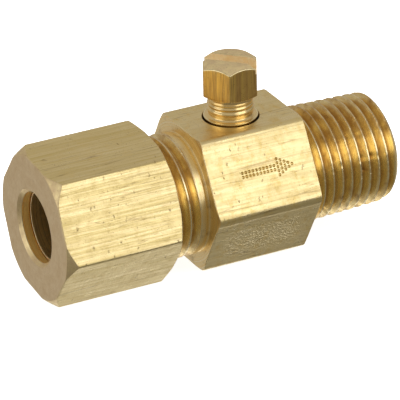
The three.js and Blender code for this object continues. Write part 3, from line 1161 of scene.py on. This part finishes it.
def faced_brass(name, axis, pale=DULL_BRASS, dark=DULL_TAN, metallic=1.0):
    """A dull machined face: matt, with faint turning rings, scratches and specks."""
    look = Finish(name, metallic)
    rings_at, _, _ = look.radial(axis)
    rings = look.noise(rings_at, scale=4.0, detail=3.0, roughness=0.6)
    scuffs = look.noise(look.stretched(1.2, 1.2, 1.2), detail=6.0, roughness=0.7)
    grain = look.noise(look.stretched(8, 8, 8), detail=2.0)
    colour = look.blend(look.span(scuffs, 0.35, 0.7), pale, dark)
    colour = look.blend(look.span(rings, 0.45, 0.7, 0, 0.5), colour, dark)
    colour = look.blend(look.span(grain, 0.64, 0.74, 0, 0.45), colour, TARNISH)
    rough = look.span(scuffs, 0.3, 0.7, 0.4, 0.55)
    normal = look.bump(rings, 0.008)
    normal = look.bump(scuffs, 0.02, normal=normal)
    return look.set(colour, rough, look.bump(grain, 0.006, normal=normal))


def rubber(name):
    look = Finish(name, 0.0)
    grain = look.noise(look.stretched(6, 6, 6), detail=3.0)
    colour = look.blend(look.span(grain, 0.3, 0.7), RUBBER_BLACK, RUBBER_GREY)
    return look.set(colour, look.span(grain, 0.3, 0.7, 0.5, 0.7), look.bump(grain, 0.01))


# ---------------------------------------------------------------- camera, light and floor


CENTRE = (cad_low + cad_high) / 2
CAMERA_AZIMUTH = -26.807
CAMERA_ELEVATION = 26.311
CAMERA_ROLL = math.radians(-1.235)
CAMERA_DISTANCE = 370.42
CAMERA_LENS = 374.3
CAMERA_TARGET = Vector((CENTRE.x - 0.696 * MM, 0, AXIS_Z - 1.238 * MM))


def direction(azimuth, elevation):
    """The way from the valve to a place at an azimuth from the front and an elevation."""
    turned = math.radians(azimuth)
    raised = math.radians(elevation)
    return Vector(
        (
            math.sin(turned) * math.cos(raised),
            -math.cos(turned) * math.cos(raised),
            math.sin(raised),
        )
    )


def make_camera():
    back = direction(CAMERA_AZIMUTH, CAMERA_ELEVATION)
    right = (-back).cross(Vector((0, 0, 1))).normalized()
    up = right.cross(-back)
    tilted_right = right * math.cos(CAMERA_ROLL) + up * math.sin(CAMERA_ROLL)
    tilted_up = up * math.cos(CAMERA_ROLL) - right * math.sin(CAMERA_ROLL)
    data = bpy.data.cameras.new("camera")
    data.lens = CAMERA_LENS
    data.sensor_width = 36
    data.clip_start = 0.01
    data.clip_end = 10
    camera = bpy.data.objects.new("camera", data)
    bpy.context.scene.collection.objects.link(camera)
    turn = Matrix((tilted_right, tilted_up, back)).transposed()
    spot = CAMERA_TARGET + back * CAMERA_DISTANCE * MM
    camera.matrix_world = Matrix.Translation(spot) @ turn.to_4x4()
    bpy.context.scene.camera = camera


def make_floor():
    """A plain pale floor just under the valve. The brass does not reflect it."""
    mesh = bpy.data.meshes.new("floor")
    half = 2.0
    z = cad_low.z - 0.02 * MM
    corners = [(-half, -half, z), (half, -half, z), (half, half, z), (-half, half, z)]
    mesh.from_pydata(corners, [], [(0, 1, 2, 3)])
    floor = bpy.data.objects.new("floor", mesh)
    bpy.context.scene.collection.objects.link(floor)
    look = Finish("pale_floor", 0.0)
    look.shader.inputs["Base Color"].default_value = (0.8, 0.8, 0.8, 1)
    look.shader.inputs["Emission Color"].default_value = (1, 1, 1, 1)
    look.shader.inputs["Emission Strength"].default_value = 0.85
    look.shader.inputs["Roughness"].default_value = 1.0
    look.shader.inputs["Specular IOR Level"].default_value = 0.0
    mesh.materials.append(look.material)
    floor.visible_glossy = False
    floor.visible_shadow = False


def soft_light(name, azimuth, elevation, distance, width, height, power, glossy=True):
    """An area light that looks at the valve from a direction given in degrees."""
    towards = direction(azimuth, elevation)
    data = bpy.data.lights.new(name, "AREA")
    data.shape = "RECTANGLE"
    data.size = width
    data.size_y = height
    data.energy = power
    light = bpy.data.objects.new(name, data)
    bpy.context.scene.collection.objects.link(light)
    light.location = CENTRE + towards * distance
    light.rotation_mode = "QUATERNION"
    light.rotation_quaternion = towards.to_track_quat("Z", "Y")
    light.visible_glossy = glossy


DIM_GREY = (0.215, 0.2, 0.165, 1)
SOFT_GREY = (0.48, 0.45, 0.41, 1)


def make_world():
    """Soft grey surroundings, dimmer low down in front than overhead and behind."""
    world = bpy.data.worlds.new("studio")
    bpy.context.scene.world = world
    world.use_nodes = True
    nodes = world.node_tree.nodes
    links = world.node_tree.links
    split = nodes.new("ShaderNodeSeparateXYZ")
    links.new(nodes.new("ShaderNodeTexCoord").outputs["Generated"], split.inputs[0])
    # The surroundings brighten from low to high along each axis.
    shares = []
    for axis, low, high in (("Y", 0.0, 0.5), ("Z", -0.05, 0.45)):
        share = nodes.new("ShaderNodeMapRange")
        share.inputs["From Min"].default_value = low
        share.inputs["From Max"].default_value = high
        links.new(split.outputs[axis], share.inputs["Value"])
        shares.append(share.outputs["Result"])
    either = nodes.new("ShaderNodeMath")
    either.operation = "MAXIMUM"
    links.new(shares[0], either.inputs[0])
    links.new(shares[1], either.inputs[1])
    tone = nodes.new("ShaderNodeMix")
    tone.data_type = "RGBA"
    tone.inputs["A"].default_value = DIM_GREY
    tone.inputs["B"].default_value = SOFT_GREY
    links.new(either.outputs[0], tone.inputs["Factor"])
    links.new(tone.outputs["Result"], nodes["Background"].inputs["Color"])


def make_lights():
    make_world()
    soft_light("front_softbox", 27, 25, distance=0.6, width=0.5, height=0.42, power=0.76)
    soft_light("left_card", -90, 11, distance=0.6, width=0.45, height=0.48, power=0.64)
    soft_light("low_back_card", 168, -64, distance=0.6, width=0.55, height=0.2, power=0.34)
    soft_light(
        "overhead_fill", 0, 89, distance=0.9, width=1.6, height=1.6, power=15.0, glossy=False
    )


# ---------------------------------------------------------------- the scene

make_camera()
make_floor()
make_lights()
bpy.context.scene.view_settings.view_transform = "Standard"

# Finishes for the surfaces made round X.
bar_x = drawn_brass(
    "drawn_brass_body", "x", streak=0.35, mottled=0.9, fine=4.0, marked=0.35, peened=True
)
nut_bar_x = drawn_brass("drawn_brass_nut", "x", streak=0.75, mottled=0.25)
turned_x = turned_brass("turned_brass", "x", TURNED_PALE, TURNED_GOLD)
faced_x = faced_brass("faced_brass", "x")
nut_edge_x = faced_brass("faced_brass_pale", "x", PALE_BRASS, DULL_TAN)
tube_thread_x = threaded_brass("threaded_brass_tube", TUBE_MAJOR_R, 0.0, TUBE_DEPTH)
pipe_crest_r = PIPE_END_MAJOR_R + PIPE_END * PIPE_TAPER
pipe_thread_x = threaded_brass("threaded_brass_pipe", pipe_crest_r, PIPE_TAPER, PIPE_DEPTH)
# Painted shade: the bores and ways inside are coloured dark olive and brown, darker than the brass
# outside, where little light reaches.
bore_x = turned_brass("bored_brass_painted_shade", "x", DARK_OLIVE, DARK_BROWN, 0.42, metallic=0.88)
# Painted reflection and shade: the nut's inner land takes deep amber and orange, standing in for
# light bounced round inside the nut.
land_x = turned_brass("nut_land_brass", "x", AMBER_BRASS, DEEP_BRASS, 0.4, metallic=0.72)
sleeve_x = turned_brass("sleeve_brass", "x", WEAR_AND_HIGHLIGHT_BRASS, PALE_BRASS, 0.35, metallic=0.6)

# Finishes for the surfaces made round Z.
head_z = drawn_brass("drawn_brass_head", "z", AMBER_BRASS, BROWN_BRASS, 0.8, 0.3, fine=3.5)
turned_z = turned_brass("turned_brass_screw", "z", NECK_PALE, NECK_GOLD, 0.2, 0.004)
# A pale finish for small edges: partly real wear, partly a painted highlight that makes them read
# as bright lines.
edge_z = turned_brass("worn_edge_painted_highlight", "z", WEAR_AND_HIGHLIGHT_BRASS, PALE_BRASS, 0.2, 0.002)
faced_z = faced_brass("faced_brass_screw", "z", PALE_BRASS, DULL_TAN, 0.94)
slot_z = faced_brass("slotted_brass", "z", SLOT_PALE, SLOT_GOLD, 0.82)

# The lists for the body, the screw and the nut are in the order of ZONES.
make_body([bar_x, turned_x, tube_thread_x, bore_x, turned_x, pipe_thread_x])
make_screw([head_z, turned_z, edge_z, slot_z, faced_z])
make_seal([rubber("seal_rubber")])
make_nut([nut_bar_x, nut_edge_x, tube_thread_x, land_x, faced_x])
make_sleeve([sleeve_x, bore_x])
